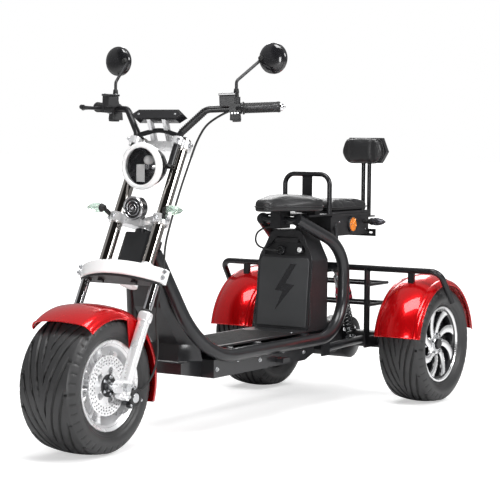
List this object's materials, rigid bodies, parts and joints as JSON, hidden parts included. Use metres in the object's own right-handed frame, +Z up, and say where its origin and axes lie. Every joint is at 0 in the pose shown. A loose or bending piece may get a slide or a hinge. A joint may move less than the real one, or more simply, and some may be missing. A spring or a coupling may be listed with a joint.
{
  "type": "electric chopper trike",
  "caption": "Three-wheeled electric chopper with a raked fork, wide front tyre, step-through frame, upright battery, two seats, lidded trunk box and arched rear fenders.",
  "frame": {"origin": "centre of the bounding box on the ground under the wheels", "axes": "+X forward, +Y to the rider's left, +Z up"},
  "size_m": [2.051, 0.982, 1.278],
  "materials": {
    "frame_paint": "satin",
    "black_plastic": "matte",
    "black_gloss": "gloss",
    "black_metal": "satin",
    "red_paint": "gloss",
    "chrome": "mirror",
    "alloy": "satin",
    "white_alloy": "gloss",
    "steel": "brushed",
    "leather": "grained",
    "tyre": "matte",
    "rubber": "matte",
    "lens": "clear",
    "signal_lens": "clear",
    "amber": "gloss",
    "red_anodised": "satin"
  },
  "bodies": {
    "frame": {"rail_left": "frame_paint", "rail_right": "frame_paint", "cross_members": "frame_paint", "steering_head": "frame_paint", "front_panel": "frame_paint", "floor_board": "black_plastic", "belly_pan": "frame_paint", "battery": "black_plastic", "seat_base": "black_metal", "saddle": "leather", "hoop": "black_metal", "trunk_box": "black_plastic", "box_struts": "frame_paint", "side_reflectors": "amber", "rear_signals": "signal_lens", "plate_bar": "black_metal", "backrest_posts": "black_metal", "backrest_shell": "black_plastic", "backrest_pad": "leather", "axle_housing": "black_metal", "motor": "black_metal", "swing_arm": "frame_paint", "shock_dampers": "steel", "shock_springs": "black_metal", "shock_canisters": "red_anodised", "rear_fender_left": "red_paint", "rear_fender_right": "red_paint", "rear_rack": "black_metal", "battery_lead": "rubber"},
    "steering": {"fork_tubes": "chrome", "stanchions": "chrome", "fork_legs": "alloy", "front_axle": "steel", "lower_yoke": "white_alloy", "mid_yoke": "alloy", "top_yoke": "alloy", "handlebar": "black_metal", "grips": "rubber", "controls": "black_plastic", "mirrors": "black_plastic", "riser": "alloy", "display": "black_gloss", "headlamp_shell": "black_gloss", "headlamp_ring": "chrome", "headlamp_lens": "lens", "horn": "black_gloss", "front_signals": "signal_lens", "front_fender": "red_paint", "front_caliper": "black_metal", "brake_hose": "rubber"},
    "front_wheel": {"front_tyre": "tyre", "front_rim": "alloy", "front_disc": "steel"},
    "rear_wheel_left": {"rear_tyre_left": "tyre", "rear_rim_left": "chrome"},
    "rear_wheel_right": {"rear_tyre_right": "tyre", "rear_rim_right": "chrome"},
    "trunk_lid": {"lid_pan": "black_plastic", "passenger_pad": "leather"}
  },
  "joints": [
    {"name": "steer", "type": "hinge", "parent": "frame", "child": "steering", "pos_m": [0.53917, 0, 0.61026], "axis": [-0.4587, 0, 0.8886], "range_deg": [-35, 35]},
    {"name": "front_spin", "type": "hinge", "parent": "steering", "child": "front_wheel", "pos_m": [0.80854, 0, 0.217], "axis": [0, 1, 0], "continuous": true},
    {"name": "rear_spin_left", "type": "hinge", "parent": "frame", "child": "rear_wheel_left", "pos_m": [-0.77146, 0.358, 0.217], "axis": [0, 1, 0], "continuous": true},
    {"name": "rear_spin_right", "type": "hinge", "parent": "frame", "child": "rear_wheel_right", "pos_m": [-0.77146, -0.358, 0.217], "axis": [0, 1, 0], "continuous": true},
    {"name": "lid_hinge", "type": "hinge", "parent": "frame", "child": "trunk_lid", "pos_m": [-0.70146, -0.086, 0.696], "axis": [1, 0, 0], "range_deg": [0, 85]}
  ]
}
